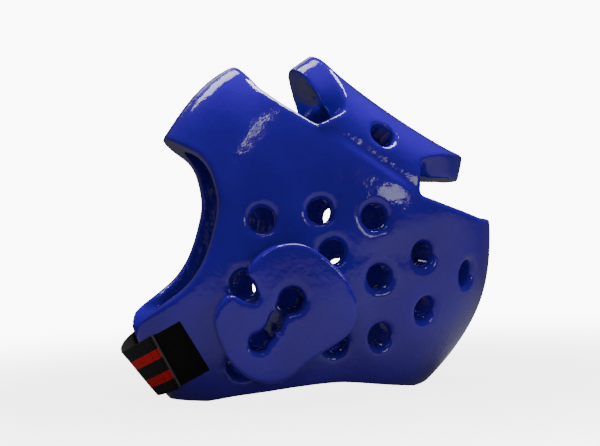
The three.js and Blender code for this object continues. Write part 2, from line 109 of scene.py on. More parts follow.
COMMA_HALF_WIDTH = 23.4
COMMA_CENTRE = 0.44 * REACH
COMMA_OUTLINE = [
    (0.83, 0.37), (0.58, 0.64), (0.32, 0.81), (-0.01, 0.91), (-0.37, 0.85), (-0.67, 0.68),
    (-0.91, 0.42), (-0.96, 0.15), (-0.85, -0.12), (-0.65, -0.25), (-0.45, -0.19), (-0.26, -0.04),
    (-0.11, 0.13), (0.06, 0.28), (0.25, 0.34), (0.54, 0.36),
]

# Rims seen from the side, aft and up in shares of REACH
CROWN_RIM = [(0.4, 1.03), (0.341, 0.941), (0.253, 0.799), (0.165, 0.723)]
CHIN_TOP_RIM = [(-0.622, 0.215), (-0.81, 0.153), (-1.07, 0.127)]
BOTTOM_RIM = [
    (-0.453, -0.647), (-0.367, -0.629), (-0.232, -0.605), (-0.083, -0.585), (0.024, -0.583),
    (0.164, -0.592), (0.289, -0.607), (0.435, -0.625), (0.547, -0.647),
]
NAPE_CUT_TURN = math.radians(27)
NAPE_EDGE = [
    (0.12, -0.66), (0.12, -0.633), (0.094, -0.33), (0.062, -0.282), (0.02, -0.24), (0.0, -0.1),
]
NAPE_OPENING_RIM = [
    (0.855, -0.261), (0.776, -0.21), (0.703, -0.161), (0.629, -0.101), (0.567, -0.018),
    (0.528, 0.067), (0.494, 0.175), (0.478, 0.26), (0.485, 0.346), (0.51, 0.434),
    (0.553, 0.493), (0.627, 0.543), (0.695, 0.593), (0.767, 0.658),
]
CLEAR_OF_SHELL = 1.25  # a share of REACH that lies outside the shell

VENTS = [
    (0.291, 0.187), (0.021, 0.215), (-0.231, 0.179), (-0.474, -0.006), (-0.723, -0.115),
    (-0.249, -0.101), (-0.484, -0.27), (-0.25, -0.378), (-0.028, 0.024), (0.378, -0.103),
    (-0.028, -0.394), (0.408, -0.482),
]
VENT_FLARE = 3.2  # how much wider a vent's mouth is than its bore
COMMA_FLARE = 1.5  # and a comma vent's mouth

# Ear pad seen from the side: its outline, from the notch round the front and back to it
PAD_OUTLINE = [
    (0.375, -0.058), (0.351, -0.003), (0.289, 0.05), (0.216, 0.073), (0.125, 0.07), (0.023, 0.004),
    (-0.059, -0.084), (-0.105, -0.183), (-0.108, -0.267), (-0.063, -0.351), (0.049, -0.419),
    (0.124, -0.463), (0.187, -0.521), (0.26, -0.552), (0.357, -0.538), (0.427, -0.492),
    (0.485, -0.411), (0.523, -0.302), (0.524, -0.23), (0.489, -0.166), (0.452, -0.143),
    (0.393, -0.175), (0.345, -0.183), (0.326, -0.16), (0.337, -0.118), (0.354, -0.081),
]
PAD_SINK = 2.5  # how deep its foot goes into the shell

# Its slot: a round vent at each end, with its radius, and the bowed waist between them
SLOT_UPPER = (0.183, -0.178, 0.058)
SLOT_LOWER = (0.337, -0.363, 0.043)
SLOT_WAIST = 0.06
SLOT_BOW = 0.012
SLOT_FLARE = 1.8  # how much wider its mouth is on each side, and how deep
CLEAR_OF_PAD = 2.5  # how far the mouth's cutter stands out of the pad

# Strap and patches
PATCH_FRONT = [(0.675, -0.261), (0.546, -0.492)]
STRAP_END = [(0.792, -0.322), (0.67, -0.565)]
STRAP_RIM = [(0.866, -0.37), (0.748, -0.612)]
STRAP_MIDDLE = (0.848, -0.532)
STRAP_MIDDLE_LEAN = math.radians(41)
STRAP_HANDLE = 0.4  # how far it runs on before it bends across the gap, by the gap's span
STRAP_EDGE = 0.4
PATCH_EDGE = 0.5

# Brightness of the studio. Its white background is for the camera alone: in the gloss it would
# wash out the blue
ROOM_LIGHT = 0.5  # the room, on matt faces
ROOM_MIRRORED = 0.04  # the room, in gloss
FLOOR_MIRRORED = 0.05  # the floor's glow, in gloss
BACKGROUND_LIGHT = 10.0  # the room and the far floor, to the camera
FLOOR_GLOW = 4.0  # the floor under the headgear, to the camera

# Fineness of the dressed meshes
FORM_SEGMENTS = (160, 72)  # round the form, and from ear to ear
FOREHEAD_CELLS = (120, 48)  # from side to side, and from the rear edge to the brow
BORE_SEGMENTS = 40
DISC_POINTS = 32
STRAP_POINTS = 17  # across its width
TAB_ROWS = 9  # of the strap, where it lies on a tab
GAP_ROWS = 25  # of the strap, from a tab to its middle
PATCH_POINTS = (25, 33)  # along it, and across its width
SHELL_VOXEL = 1.3
PAD_VOXEL = 1.0
SHELL_SOFTENING = 26
PAD_SOFTENING = 30

# Outer form


def form_at(turn, column):
    """The form table's column at a turn in degrees, on a smooth closed curve through its rows."""
    turns = FORM[:, 0]
    count = len(turns)
    lap = (turn - turns[0]) % 360 + turns[0]
    row = np.clip(np.searchsorted(turns, lap, side="right") - 1, 0, count - 1)

    def at(i):
        return turns[i % count] + 360 * (i // count), FORM[i % count, column]

    (t0, v0), (t1, v1), (t2, v2), (t3, v3) = (at(row + k) for k in (-1, 0, 1, 2))
    span = t2 - t1
    s = (lap - t1) / span
    slope_in = (v2 - v0) / (t2 - t0) * span
    slope_out = (v3 - v1) / (t3 - t1) * span
    return (
        (2 * s**3 - 3 * s**2 + 1) * v1 + (s**3 - 2 * s**2 + s) * slope_in
        + (3 * s**2 - 2 * s**3) * v2 + (s**3 - s**2) * slope_out
    )


def fullness(points):
    """0 on the outer form's face, below 0 inside it. Points are rows of x, aft, up from the ear."""
    turn = np.degrees(np.arctan2(points[:, 2], points[:, 1]))
    out = np.hypot(points[:, 1], points[:, 2]) / (form_at(turn, RIM) * REACH)
    aside = np.abs(points[:, 0]) / HALF_WIDTH
    return out ** form_at(turn, ROUND) + aside ** form_at(turn, SIDE) - 1


def outward(points):
    """The way out of the form at each point."""
    step = 0.5
    slope = np.zeros_like(points)
    for axis in range(3):
        shift = np.zeros(3)
        shift[axis] = step
        slope[:, axis] = fullness(points + shift) - fullness(points - shift)
    return slope / np.linalg.norm(slope, axis=1, keepdims=True)


def placed(points):
    """From the ear point to the part's own frame."""
    return points + np.array([0.0, EAR_AFT, EAR_HEIGHT])


def face_points(unit, offset):
    """Points of the form's face for points of a unit sphere whose poles are the ears."""
    hand = np.where(unit[:, 2] < 0, -1.0, 1.0)
    lift = np.abs(np.arcsin(np.clip(unit[:, 2], -1, 1))) / (math.pi / 2)
    quarter = lift**1.5 * math.pi / 2
    radians = np.arctan2(unit[:, 1], unit[:, 0])
    turn = np.degrees(radians)
    out = np.cos(quarter) ** (2 / form_at(turn, ROUND)) * form_at(turn, RIM) * REACH
    side = np.sin(quarter) ** (2 / form_at(turn, SIDE)) * HALF_WIDTH
    points = np.stack([hand * side, out * np.cos(radians), out * np.sin(radians)], axis=1)
    way = outward(points)
    way[lift < 1e-6, 0] = 0
    way[lift > 1 - 1e-6] = [1, 0, 0]
    way[lift > 1 - 1e-6, 0] = hand[lift > 1 - 1e-6]
    way /= np.linalg.norm(way, axis=1, keepdims=True)
    return placed(points + way * offset)


def on_face(spots, offset=0.0, hand=-1):
    """Where places seen from the side, aft and up in millimetres from the ear, lie on the form.

    The way out of the form there comes with them.
    """
    spots = np.asarray(spots, float)
    inner = np.zeros(len(spots))
    outer = np.full(len(spots), HALF_WIDTH * 1.01)
    for _ in range(40):
        middle = (inner + outer) / 2
        full = fullness(np.column_stack([middle, spots])) > 0
        outer = np.where(full, middle, outer)
        inner = np.where(full, inner, middle)
    points = np.column_stack([hand * inner, spots])
    way = outward(points)
    return placed(points + way * offset), way


# Mesh helpers


def new_piece(name, mesh):
    piece = bpy.data.objects.new(name, mesh)
    bpy.context.scene.collection.objects.link(piece)
    return piece


def piece_from(bm, name):
    """A piece from a bmesh, which is used up."""
    mesh = bpy.data.meshes.new(name)
    bm.to_mesh(mesh)
    bm.free()
    return new_piece(name, mesh)


def form_solid(name, offset):
    """The whole outer form, grown by an offset."""
    bm = bmesh.new()
    around, ear_to_ear = FORM_SEGMENTS
    bmesh.ops.create_uvsphere(bm, u_segments=around, v_segments=ear_to_ear, radius=1.0)
    unit = np.array([vert.co[:] for vert in bm.verts])
    for vert, point in zip(bm.verts, face_points(unit, offset) * MM):
        vert.co = point
    return piece_from(bm, name)


def smooth_through(points, closed=False, steps=5):
    """A Catmull-Rom curve through points, as a list of points."""
    points = [np.asarray(point, float) for point in points]
    count = len(points)
    curve = []
    for i in range(count if closed else count - 1):
        if closed:
            p0, p1, p2, p3 = (points[(i + k) % count] for k in (-1, 0, 1, 2))
        else:
            p0, p1, p2, p3 = (points[min(max(i + k, 0), count - 1)] for k in (-1, 0, 1, 2))
        for step in range(steps):
            t = step / steps
            curve.append(0.5 * (
                2 * p1 + (p2 - p0) * t + (2 * p0 - 5 * p1 + 4 * p2 - p3) * t**2
                + (3 * p1 - 3 * p2 + p3 - p0) * t**3
            ))
    if not closed:
        curve.append(points[-1])
    return curve


def prism(name, outline, origin, across, up, way, depth):
    """An outline pushed along a way. across and up are the outline's own axes."""
    bm = bmesh.new()
    corners = [
        bm.verts.new(Vector(origin + across * a + up * b) * MM) for a, b in outline
    ]
    face = bm.faces.new(corners)
    pushed = bmesh.ops.extrude_face_region(bm, geom=[face])["geom"]
    moved = [item for item in pushed if isinstance(item, bmesh.types.BMVert)]
    bmesh.ops.translate(bm, vec=Vector(way) * depth * MM, verts=moved)
    bmesh.ops.recalc_face_normals(bm, faces=bm.faces)
    return piece_from(bm, name)


X, Y, Z = np.eye(3)
EAR = np.array([0.0, EAR_AFT, EAR_HEIGHT])


def side_prism(name, outline, start, depth):
    """A prism along X whose outline is seen from the side, in millimetres from the ear."""
    return prism(name, outline, EAR + X * start, Y, Z, X, depth)


def drill(name, centre, way, radii, depth):
    """A round cutter along a way, its first radius at the inner end."""
    bm = bmesh.new()
    bmesh.ops.create_cone(
        bm, cap_ends=True, segments=BORE_SEGMENTS, radius1=radii[0] * MM, radius2=radii[1] * MM,
        depth=depth * MM,
    )
    turn = Vector((0, 0, 1)).rotation_difference(Vector(way)).to_matrix().to_4x4()
    bmesh.ops.transform(bm, matrix=Matrix.Translation(Vector(centre) * MM) @ turn, verts=bm.verts)
    return piece_from(bm, name)


def vent_cutters(foot, way, radius):
    """A bore through the wall and the flare of its mouth."""
    flare = drill("mouth", foot, way, (radius, radius + 2 * VENT_FLARE), 2 * VENT_FLARE)
    return [drill("bore", foot, way, (radius, radius), 3 * WALL), flare]


def widened(outline, by):
    """An outline pushed outwards, square to itself at each of its points."""
    points = np.array(outline)
    after = np.roll(points, -1, axis=0)
    along = after - np.roll(points, 1, axis=0)
    out = np.column_stack([along[:, 1], -along[:, 0]])
    out /= np.linalg.norm(out, axis=1, keepdims=True)
    area = np.sum(points[:, 0] * after[:, 1] - after[:, 0] * points[:, 1])
    return list(points + out * by * math.copysign(1, area))


def finished(piece):
    """Applies the piece's modifiers."""
    graph = bpy.context.evaluated_depsgraph_get()
    graph.update()
    mesh = bpy.data.meshes.new_from_object(piece.evaluated_get(graph))
    piece.modifiers.clear()
    old = piece.data
    piece.data = mesh
    bpy.data.meshes.remove(old)
    return piece


def combined(piece, others, operation):
    """The piece after a boolean with each of the others, which are used up."""
    for other in others:
        step = piece.modifiers.new(operation.lower(), "BOOLEAN")
        step.operation = operation
        step.solver = "MANIFOLD"
        step.object = other
    finished(piece)
    for other in others:
        mesh = other.data
        bpy.data.objects.remove(other)
        bpy.data.meshes.remove(mesh)
    return piece


def dipped(piece, voxel, softening):
    """Remeshes the piece evenly and softens it, which rounds its rims as the dipped skin does."""
    skin = piece.modifiers.new("skin", "REMESH")
    skin.mode = "VOXEL"
    skin.voxel_size = voxel * MM
    skin.use_smooth_shade = True
    soft = piece.modifiers.new("soften", "SMOOTH")
    soft.factor = 0.5
    soft.iterations = softening
    return finished(piece)


def shares(spots):
    """Places in shares of REACH, as millimetres."""
    return [np.array(spot[:2]) * REACH for spot in spots]


# Forehead

SLOPE_WAY = np.array([0.0, -math.cos(BROW_SLOPE), -math.sin(BROW_SLOPE)])
SLOPE_UP = np.array([0.0, -math.sin(BROW_SLOPE), math.cos(BROW_SLOPE)])
ARCH_TOP = EAR + Y * CROWN_CORNER[0] * REACH + Z * CROWN_CORNER[1] * REACH


def arch_place(depth):
    """How far to the side the arch is at a depth, and the way out of its face there."""
    rise = (ARCH_RISE - depth) / ARCH_RISE
    side = ARCH_HALF_SPAN * (1 - rise**ARCH_SQUARENESS) ** (1 / ARCH_SQUARENESS)
    way = np.array([
        (side / ARCH_HALF_SPAN) ** (ARCH_SQUARENESS - 1) / ARCH_HALF_SPAN,
        rise ** (ARCH_SQUARENESS - 1) / ARCH_RISE,
    ])
    return side, way / np.linalg.norm(way)


def dip_at(share):
    """How far the arch's top has sagged, by the share of the way from its rear edge to the brow."""
    depth, power = ARCH_DIP
    return depth * math.sin(math.pi * min(max(share, 0.0), 1.0)) ** power


def edge_along(side, depth, swing, middle):
    """How far along the slope an edge of the forehead is, which swings from its middle."""
    corner, crease, power = swing
    if depth <= CORNER_DEPTH:
        share = (side / arch_place(CORNER_DEPTH)[0]) ** power
        return middle + (corner * REACH - middle) * share
    share = (depth - CORNER_DEPTH) / (CREASE_DEPTH - CORNER_DEPTH)
    return (corner + (crease - corner) * share) * REACH


def forehead_solid():
    """The arched panel with its comma vents and side vents, its ends sunk in the side panels."""
    bm = bmesh.new()
    side_to_side, rear_to_brow = FOREHEAD_CELLS
    bmesh.ops.create_grid(bm, x_segments=side_to_side, y_segments=rear_to_brow, size=0.5)
    last = math.acos(((ARCH_RISE - CREASE_DEPTH) / ARCH_RISE) ** (ARCH_SQUARENESS / 2))
    for vert in bm.verts:
        lift = 2 * vert.co.x
        depth = ARCH_RISE * (1 - math.cos(abs(lift) * last) ** (2 / ARCH_SQUARENESS))
        side, _ = arch_place(min(depth, CREASE_DEPTH))
        start = edge_along(side, depth, REAR_SWING, 0.0)
        end = edge_along(side, depth, BROW_SWING, FOREHEAD_LENGTH)
        share = vert.co.y + 0.5
        along = start + (end - start) * share
        depth += dip_at(share) * (1 - depth / CREASE_DEPTH)
        if abs(lift) > 1 - 1e-6:
            depth += FOREHEAD_SINK
        vert.co = (
            X * math.copysign(side, lift) + ARCH_TOP + SLOPE_WAY * along - SLOPE_UP * depth
        ) * MM
    bmesh.ops.recalc_face_normals(bm, faces=bm.faces)
    middle = min(bm.faces, key=lambda face: abs(face.calc_center_median().x))
    if middle.normal.z < 0:
        bmesh.ops.reverse_faces(bm, faces=bm.faces)
    bmesh.ops.solidify(bm, geom=bm.faces[:], thickness=WALL * MM)
    bmesh.ops.recalc_face_normals(bm, faces=bm.faces)
    panel = piece_from(bm, "forehead")
    cutters = []
    face = ARCH_TOP + SLOPE_WAY * COMMA_CENTRE - SLOPE_UP * dip_at(COMMA_CENTRE / FOREHEAD_LENGTH)
    for hand in (1, -1):
        spots = [np.array(spot) * hand * COMMA_HALF_WIDTH for spot in COMMA_OUTLINE]
        outline = smooth_through(spots, steps=4)
        base = face - SLOPE_UP * 2 * WALL
        cutters.append(prism("comma", outline, base, X, -SLOPE_WAY, SLOPE_UP, 4 * WALL))
        mouth = face - SLOPE_UP * 1.5 * COMMA_FLARE
        wide = widened(outline, COMMA_FLARE)
        cutters.append(prism("comma_mouth", wide, mouth, X, -SLOPE_WAY, SLOPE_UP, WALL))
        side, way = arch_place(FOREHEAD_VENT[0] * REACH)
        foot = (
            X * hand * side + ARCH_TOP + SLOPE_WAY * FOREHEAD_VENT[1] * REACH
            - SLOPE_UP * FOREHEAD_VENT[0] * REACH
        )
        cutters += vent_cutters(foot, X * hand * way[0] + SLOPE_UP * way[1], VENT_RADIUS)
    return combined(panel, cutters, "DIFFERENCE")


# Shell


def side_outline():
    """The side panels' outline, up to the crease, which it shares with the forehead."""
    def crease_end(along):
        point = ARCH_TOP + SLOPE_WAY * along * REACH - SLOPE_UP * CREASE_DEPTH - EAR
        return point[1:]

    spots = shares(CROWN_RIM)
    spots += [crease_end(REAR_SWING[1]), crease_end(BROW_SWING[1])]
    spots += shares(CHIN_TOP_RIM)
    spots += [np.array([CHIN_TOP_RIM[-1][0] * REACH, -EAR_HEIGHT])]
    bottom = shares(BOTTOM_RIM)
    bottom[0][1] = -EAR_HEIGHT
    bottom[-1][1] = -EAR_HEIGHT
    spots += smooth_through(bottom)
    far = CLEAR_OF_SHELL * REACH
    spots += [np.array([far, -EAR_HEIGHT]), np.array([far, NAPE_EDGE[2][1] * REACH])]
    opening = shares(NAPE_OPENING_RIM)
    spots += opening[:1] + smooth_through(opening[1:])
    spots += [np.array([0.7 * REACH, far])]
    return spots


def nape_cutter(hand):
    """All that lies aft of one tab's rim."""
    way = np.array([hand * math.sin(NAPE_CUT_TURN), math.cos(NAPE_CUT_TURN), 0.0])
    across = np.array([-hand * math.cos(NAPE_CUT_TURN), math.sin(NAPE_CUT_TURN), 0.0])
    far = CLEAR_OF_SHELL * REACH
    edge = shares(NAPE_EDGE)
    outline = edge + [np.array([far, edge[-1][1]]), np.array([far, edge[0][1]])]
    cutter = prism("nape", outline, EAR + way * 0.2 * far, across, Z, way, far)
    box = [(0.0, -far), (far, -far), (far, far), (0.0, far)]
    half = prism("half", box, EAR - X * 0.01, Y, Z, X * hand, far)
    return combined(cutter, [half], "INTERSECT")


def shell_solid():
    """Both side panels in one, hollow, with their vents and their cut at the nape."""
    shell = combined(form_solid("shell", 0.0), [form_solid("hollow", -WALL)], "DIFFERENCE")
    outline = side_prism("outline", side_outline(), -1.5 * HALF_WIDTH, 3 * HALF_WIDTH)
    combined(shell, [outline], "INTERSECT")
    cutters = [nape_cutter(hand) for hand in (-1, 1)]
    for hand in (-1, 1):
        feet, ways = on_face(shares(VENTS), hand=hand)
        for foot, way in zip(feet, ways):
            cutters += vent_cutters(foot, way, VENT_RADIUS)
        feet, ways = on_face(shares([SLOT_UPPER, SLOT_LOWER]), hand=hand)
        for foot, way in zip(feet, ways):
            cutters.append(drill("bore", foot, way, (EAR_VENT_RADIUS, EAR_VENT_RADIUS), 3 * WALL))
    return combined(shell, cutters, "DIFFERENCE")


def divide(whole, planes):
    """Cuts edge loops into the mesh along planes, each a point and a normal in millimetres."""
    bm = bmesh.new()
    bm.from_mesh(whole.data)
    for point, normal in planes:
        bmesh.ops.bisect_plane(
            bm, geom=bm.verts[:] + bm.edges[:] + bm.faces[:], plane_co=Vector(point) * MM,
            plane_no=Vector(normal), dist=1e-6,
        )
    bm.normal_update()
    way = bm.verts.layers.float_vector.new("way")
    for vert in bm.verts:
        vert[way] = vert.normal
    bm.to_mesh(whole.data)
    bm.free()


def part_of(whole, name, belongs):
    """A piece from the faces whose centres belong, shaded as if it were still one skin."""
    bm = bmesh.new()
    bm.from_mesh(whole.data)
    others = [face for face in bm.faces if not belongs(face.calc_center_median() / MM)]
    bmesh.ops.delete(bm, geom=others, context="FACES")
    way = bm.verts.layers.float_vector["way"]
    ways = [vert[way].copy() for vert in bm.verts]
    bm.verts.layers.float_vector.remove(way)
    for face in bm.faces:
        face.smooth = True
    piece = piece_from(bm, name)
    piece.data.normals_split_custom_set_from_vertices(ways)
    return piece


def make_shell():
    """The dipped shell, divided at the crown and chin seams and along the forehead's crease."""
    joined = combined(shell_solid(), [forehead_solid()], "UNION")
    whole = dipped(joined, SHELL_VOXEL, SHELL_SOFTENING)
    crease = ARCH_TOP - SLOPE_UP * CREASE_DEPTH
    notch = crease + SLOPE_WAY * REAR_SWING[1] * REACH
    divide(whole, [(EAR, X), (crease, SLOPE_UP), (notch, Y)])

    def on_forehead(point):
        return np.dot(np.array(point) - crease, SLOPE_UP) > 0 and point.y < notch[1]

    def on_right_side(point):
        return point.x < 0 and not on_forehead(point)

    def on_left_side(point):
        return point.x > 0 and not on_forehead(point)

    pieces = {
        "forehead_panel": part_of(whole, "forehead_skin", on_forehead),
        "right_side_panel": part_of(whole, "right_side_skin", on_right_side),
        "left_side_panel": part_of(whole, "left_side_skin", on_left_side),
    }
    bpy.data.objects.remove(whole)
    return pieces


# Ear pads


def disc(centre, radius):
    """The outline of one of the slot's round ends."""
    return [
        centre + radius * np.array([math.cos(turn), math.sin(turn)])
        for turn in np.linspace(0, 2 * math.pi, DISC_POINTS, endpoint=False)
    ]


def bar(start, end, width):
    """The outline of a straight stretch of the slot's waist."""
    along = (end - start) / np.linalg.norm(end - start)
    across = np.array([-along[1], along[0]]) * width / 2
    return [start + across, start - across, end - across, end + across]


def make_pad(hand, name):
    """A pad cut from a sheet that follows the shell, its foot sunk where it is glued on."""
    # The cutters run through this side of the headgear alone
    start = 0.3 * HALF_WIDTH if hand > 0 else -2 * HALF_WIDTH
    depth = 1.7 * HALF_WIDTH
    pad = form_solid(name, EAR_PAD + SEAM_GAP)
    combined(pad, [form_solid("under", -PAD_SINK)], "DIFFERENCE")
    outline = smooth_through(shares(PAD_OUTLINE), closed=True, steps=4)
    combined(pad, [side_prism("outline", outline, start, depth)], "INTERSECT")
    upper, lower = shares([SLOT_UPPER, SLOT_LOWER])
    along = (lower - upper) / np.linalg.norm(lower - upper)
    across = np.array([along[1], -along[0]]) * SLOT_BOW * REACH
    # The waist bows one way at a third of its length and the other way at two thirds
    bends = [
        upper,
        upper + (lower - upper) * 0.33 - across,
        upper + (lower - upper) * 0.67 + across,
        lower,
    ]

    def slot_cutters(flare):
        round_ends = ((upper, SLOT_UPPER[2]), (lower, SLOT_LOWER[2]))
        shapes = [disc(centre, share * REACH + flare) for centre, share in round_ends]
        shapes += [bar(*ends, SLOT_WAIST * REACH + 2 * flare) for ends in zip(bends, bends[1:])]
        return [side_prism("slot", shape, start, depth) for shape in shapes]

    mouth = form_solid("mouth", EAR_PAD + CLEAR_OF_PAD)
    combined(mouth, [form_solid("below", EAR_PAD - SLOT_FLARE)], "DIFFERENCE")
    wide = slot_cutters(SLOT_FLARE)
    combined(mouth, [combined(wide[0], wide[1:], "UNION")], "INTERSECT")
    combined(pad, slot_cutters(0.0) + [mouth], "DIFFERENCE")
    return dipped(pad, PAD_VOXEL, PAD_SOFTENING)


# Strap and patches


def strap_rows():
    """Rows of points along the strap's inner face, from its right end to its left end."""
    lift = PATCH_THICKNESS + 2 * SEAM_GAP
    shares_across = np.linspace(0, 1, STRAP_POINTS)[:, None]
    end = np.array(shares(STRAP_END))
    rim = np.array(shares(STRAP_RIM))
    rows = []
    for share in np.linspace(0, 1, TAB_ROWS):
        edge = end + (rim - end) * share
        spots = edge[0] + (edge[1] - edge[0]) * shares_across
        rows.append(on_face(spots, lift)[0])
    centre = EAR + Y * STRAP_MIDDLE[0] * REACH + Z * STRAP_MIDDLE[1] * REACH
    lean = np.array([0, math.sin(STRAP_MIDDLE_LEAN), math.cos(STRAP_MIDDLE_LEAN)]) * STRAP_WIDTH / 2
    far = centre + lean - 2 * lean * shares_across
    near = rows[-1]
    leave = near - rows[-2]
    span = np.linalg.norm(near - far, axis=1, keepdims=True)
    leave = leave / np.linalg.norm(leave, axis=1, keepdims=True) * span * STRAP_HANDLE
    for share in np.linspace(0, 1, GAP_ROWS)[1:]:
        rows.append(
            near * (1 - share) ** 3 + 3 * (near + leave) * share * (1 - share) ** 2
            + 3 * (far - X * span * STRAP_HANDLE) * share**2 * (1 - share) + far * share**3
        )
    mirrored = [row * np.array([-1, 1, 1]) for row in reversed(rows[:-1])]
    return np.array(rows + mirrored)


def band(name, rows, thickness, bevel):
    """A band over a grid of points. Its UV map is its own length and width in metres."""
    count, width = rows.shape[:2]
    bm = bmesh.new()
    bmesh.ops.create_grid(bm, x_segments=count - 1, y_segments=width - 1, size=0.5)
    steps = np.linalg.norm(np.diff(rows[:, width // 2], axis=0), axis=1)
    lengths = np.concatenate([[0], np.cumsum(steps)])
    across = np.linspace(0, np.linalg.norm(rows[0, -1] - rows[0, 0]), width)
    uv = bm.loops.layers.uv.new("band")
    places = {}
    for vert in bm.verts:
        i = round((vert.co.x + 0.5) * (count - 1))
        j = round((vert.co.y + 0.5) * (width - 1))
        places[vert] = (i, j)
    for face in bm.faces:
        for loop in face.loops:
            i, j = places[loop.vert]
            loop[uv].uv = (lengths[i] * MM, across[j] * MM)
    for vert, (i, j) in places.items():
        vert.co = Vector(rows[i, j]) * MM
    bmesh.ops.recalc_face_normals(bm, faces=bm.faces)
    piece = piece_from(bm, name)
    thick = piece.modifiers.new("thickness", "SOLIDIFY")
    thick.thickness = thickness * MM
    thick.offset = 1.0
    thick.use_even_offset = True
    finished(piece)
    edge = piece.modifiers.new("edges", "BEVEL")
    edge.width = bevel * MM
    edge.segments = 3
    edge.limit_method = "ANGLE"
    edge.angle_limit = math.radians(50)
    finished(piece)
    for polygon in piece.data.polygons:
        polygon.use_smooth = True
    return piece


def facing_out(rows):
    """The rows, ordered so that the band's face points away from the shell."""
    face = np.cross(rows[1, 0] - rows[0, 0], rows[0, 1] - rows[0, 0])
    return rows[:, ::-1] if face @ Y < 0 else rows


def patch_rows():
    """Rows of points along the right patch's foot, from its front to near the tab's rim."""
    along, across = PATCH_POINTS
    front = np.array(shares(PATCH_FRONT))
    rim = np.array(shares(STRAP_RIM))
    runs = rim - front
    back = front + runs * (1 - PATCH_SETBACK / np.linalg.norm(runs, axis=1, keepdims=True))
    rows = []
    for share in np.linspace(0, 1, along):
        edge = front + (back - front) * share
        spots = edge[0] + (edge[1] - edge[0]) * np.linspace(0, 1, across)[:, None]
        rows.append(on_face(spots, SEAM_GAP)[0])
    return np.array(rows)


# Materials


def colour(hex_code):
    """A linear colour from an sRGB hex code."""
    parts = [int(hex_code[i:i + 2], 16) / 255 for i in (0, 2, 4)]
    return [p / 12.92 if p <= 0.04045 else ((p + 0.055) / 1.055) ** 2.4 for p in parts] + [1.0]


def per_metre(size):
    """The scale of a pattern whose features are a size in millimetres."""
    return 1 / (size * MM)


def add(tree, kind, inputs=None, output=0, **settings):
    """Adds a node with its settings, values and links, and returns one of its outputs."""
    node = tree.nodes.new(kind)
    for key, value in settings.items():
        setattr(node, key, value)
    for socket, value in (inputs or {}).items():
        if isinstance(value, bpy.types.NodeSocket):
            tree.links.new(value, node.inputs[socket])
        else:
            node.inputs[socket].default_value = value
    return node.outputs[output]


def new_material(name, **settings):
    """A material with its node tree and its shader, whose sockets have the settings as values."""
    material = bpy.data.materials.new(name)
    material.use_nodes = True
    shader = material.node_tree.nodes["Principled BSDF"]
    for socket, value in settings.items():
        shader.inputs[socket.replace("_", " ")].default_value = value
    return material, material.node_tree, shader


def vinyl_material():
    """Royal blue PVC, dipped over foam and left to drip off and cure.

    That makes it glossy and slightly wavy, with a faint orange peel and smears from handling.
    It is puckered at the crown, where the foam was gathered and glued.
    """
    material, tree, shader = new_material("dipped_vinyl", IOR=1.5)
    place = add(tree, "ShaderNodeTexCoord", output="Object")
    swells = add(tree, "ShaderNodeTexNoise", {"Vector": place, "Scale": per_metre(71.43)})
    smears = add(
        tree, "ShaderNodeTexNoise", {"Vector": place, "Scale": per_metre(16.67), "Detail": 4.0},
    )
    peel = add(
        tree, "ShaderNodeTexNoise", {"Vector": place, "Scale": per_metre(6.667), "Detail": 3.0},
    )
    specks = add(
        tree, "ShaderNodeTexNoise", {"Vector": place, "Scale": per_metre(3.846), "Detail": 3.0},
    )

    # The skin is a little thicker, and so paler and more violet, in places
    thickness = add(
        tree, "ShaderNodeMapRange", {"Value": swells, "From Min": 0.35, "From Max": 0.65},
        interpolation_type="SMOOTHSTEP",
    )
    blue = add(
        tree, "ShaderNodeMix", {"Factor": thickness, "A": colour("2a0a8a"), "B": colour("300c9c")},
        "Result", data_type="RGBA",
    )
    tree.links.new(blue, shader.inputs["Base Color"])
    dulled = add(
        tree, "ShaderNodeMapRange",
        {"Value": smears, "From Min": 0.3, "From Max": 0.75, "To Min": 0.06, "To Max": 0.13},
        interpolation_type="SMOOTHSTEP",
    )
    tree.links.new(dulled, shader.inputs["Roughness"])

    # Puckers about 4 mm apart, drawn out along the seam, in a patch that fades at its edge
    crown = EAR + Y * 0.62 * REACH + Z * 0.84 * REACH
    patch_radius, patch_edge = 10 * MM, 22 * MM
    from_crown = add(
        tree, "ShaderNodeVectorMath", {0: place, 1: tuple(crown * MM)}, "Value",
        operation="DISTANCE",
    )
    gathered = add(
        tree, "ShaderNodeMapRange",
        {
            "Value": from_crown, "From Min": patch_radius, "From Max": patch_radius + patch_edge,
            "To Min": 1.0, "To Max": 0.0,
        },
        interpolation_type="SMOOTHSTEP",
    )
    drawn_out = add(tree, "ShaderNodeMapping", {"Vector": place, "Scale": (1.0, 0.35, 0.35)})
    cells = add(
        tree, "ShaderNodeTexVoronoi", {"Vector": drawn_out, "Scale": per_metre(3.846)}, "Distance",
        feature="DISTANCE_TO_EDGE",
    )
    folds = add(
        tree, "ShaderNodeMapRange", {"Value": cells, "From Max": 0.25},
        interpolation_type="SMOOTHSTEP",
    )
    puckers = add(tree, "ShaderNodeMath", {0: folds, 1: gathered}, operation="MULTIPLY")

    # Each relief's depth in millimetres and its strength, the broadest first
    normal = None
    for height, depth, strength in (
        (swells, 4.0, 0.35), (peel, 0.6, 0.5), (specks, 0.1, 0.5), (puckers, 1.0, 0.8),
    ):
        inputs = {"Height": height, "Distance": depth * MM, "Strength": strength}
        if normal is not None:
            inputs["Normal"] = normal
        normal = add(tree, "ShaderNodeBump", inputs)
    tree.links.new(normal, shader.inputs["Normal"])
    return material


